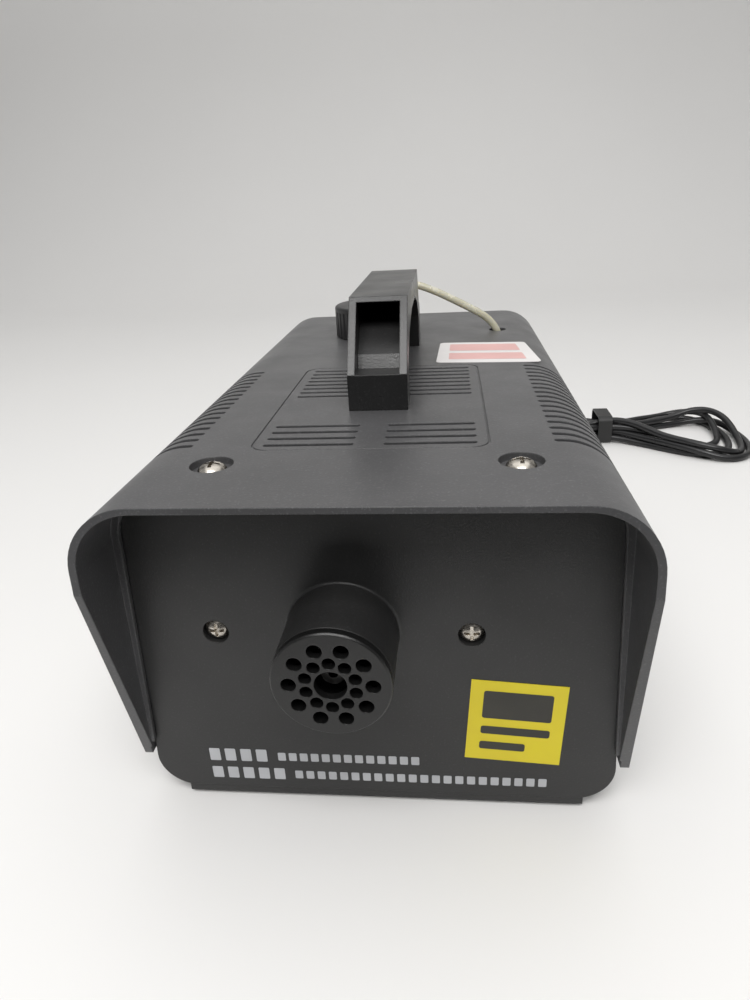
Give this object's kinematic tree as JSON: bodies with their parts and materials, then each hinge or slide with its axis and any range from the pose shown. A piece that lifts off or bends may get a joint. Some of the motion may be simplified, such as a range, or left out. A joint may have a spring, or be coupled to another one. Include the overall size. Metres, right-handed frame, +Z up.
{
  "type": "fog machine",
  "caption": "Small mains fog machine with a hooded vented cover, perforated nozzle, carry handle, screw-capped fluid tank, suction tube and tied mains lead.",
  "frame": {"origin": "on the surface that the machine stands on, under the middle of the machine without its mains lead", "axes": "+Z up, -Y towards the nozzle (front), +X to the right seen from the front"},
  "size_m": [0.3112, 0.3887, 0.1362],
  "materials": {
    "cover_plastic": "satin, fine moulded grain",
    "panel_plastic": "satin, fine moulded grain",
    "handle_plastic": "satin moulded plastic",
    "cap_plastic": "smooth ribbed plastic",
    "grille_plastic": "smooth heat-resistant plastic",
    "control_plastic": "glossy black",
    "rocker_plastic": "glossy red",
    "yellow_sticker": "printed film",
    "white_sticker": "printed paper",
    "nickel_steel": "nickel plated",
    "sheet_steel": "zinc plated",
    "cast_aluminium": "cast, matt",
    "jet_brass": "turned",
    "jet_steel": "blackened by heat",
    "mineral_wool": "pressed fibre",
    "tank_plastic": "translucent blow-moulded",
    "clear_tube": "clear flexible tube",
    "white_plastic": "natural nylon",
    "soft_rubber": "soft black",
    "copper_winding": "enamelled wire under tape",
    "element_steel": "heat tinted",
    "wire_jacket": "silicone insulated",
    "fuse_glass": "clear",
    "lead_rubber": "glossy black PVC",
    "tie_plastic": "coated wire"
  },
  "bodies": {
    "housing": {"top_cover": "cover_plastic", "front_panel": "panel_plastic", "nozzle_grille": "grille_plastic", "rear_panel": "panel_plastic", "base_tray": "panel_plastic", "rubber_feet": "soft_rubber", "base_screws": "nickel_steel", "cover_screws": "nickel_steel", "front_panel_screws": "nickel_steel", "rear_panel_screws": "nickel_steel", "carry_handle": "handle_plastic", "handle_screws": "nickel_steel", "front_label": "yellow_sticker", "top_label": "white_sticker", "fluid_tank": "tank_plastic", "tank_feet": "white_plastic", "fluid_tube": "clear_tube", "tube_joiner": "white_plastic", "pickup_tube": "clear_tube", "pickup_filter": "white_plastic", "pump_body": "white_plastic", "pump_coil": "copper_winding", "coil_bobbin": "white_plastic", "pump_yoke": "sheet_steel", "plunger_spring": "sheet_steel", "pump_bracket": "sheet_steel", "pump_mounts": "soft_rubber", "heating_element": "element_steel", "heater_block": "cast_aluminium", "outlet_fitting": "jet_steel", "insulation_jacket": "mineral_wool", "thermostat": "sheet_steel", "thermal_fuse": "white_plastic", "fuse_clip": "sheet_steel", "heater_bracket": "sheet_steel", "heater_stand": "sheet_steel", "pump_outlet_tube": "clear_tube", "inlet_fitting": "jet_brass", "switch_body": "control_plastic", "fuse_holder": "control_plastic", "remote_socket": "control_plastic", "socket_pins": "jet_brass", "strain_relief": "soft_rubber", "terminal_block": "white_plastic", "internal_wires": "wire_jacket", "power_cord": "lead_rubber", "power_cord_tail": "lead_rubber", "power_cord_hank": "lead_rubber", "cord_tie": "tie_plastic", "plug": "lead_rubber"},
    "cap_seal": {"cap_seal": "soft_rubber"},
    "tank_cap": {"tank_cap": "cap_plastic"},
    "switch_rocker": {"switch_rocker": "rocker_plastic"},
    "fuse_carrier": {"fuse_carrier": "sheet_steel", "glass_fuse": "fuse_glass"},
    "fuse_cap": {"fuse_cap": "control_plastic"},
    "pump_plunger": {"pump_plunger": "sheet_steel"}
  },
  "joints": [
    {"name": "rocker_tilt", "type": "hinge", "parent": "housing", "child": "switch_rocker", "pos_m": [0.014, 0.10195, 0.026], "axis": [0, 0, 1], "range_deg": [-22, 0]},
    {"name": "cap_lift", "type": "slide", "parent": "housing", "child": "cap_seal", "axis": [0, 0, 1], "range_m": [0, 0.0026]},
    {"name": "cap_turn", "type": "hinge", "parent": "cap_seal", "child": "tank_cap", "pos_m": [-0.0109, 0.0698, 0.1057], "axis": [0, 0, 1], "range_deg": [0, 300]},
    {"name": "fuse_pull", "type": "slide", "parent": "housing", "child": "fuse_carrier", "axis": [0, 1, 0], "range_m": [0, 0.03]},
    {"name": "fuse_turn", "type": "hinge", "parent": "fuse_carrier", "child": "fuse_cap", "pos_m": [-0.042, 0.10455, 0.026], "axis": [0, 1, 0], "range_deg": [0, 90]},
    {"name": "plunger_stroke", "type": "slide", "parent": "housing", "child": "pump_plunger", "axis": [0, 0, 1], "range_m": [-0.003, 0], "stiffness_N_per_m": 400, "springref_m": 0.002, "deforming": ["plunger_spring"]}
  ],
  "couplings": [
    {"joint": "cap_lift", "follows": "cap_turn", "m_per_rad": 0.00047746}
  ]
}
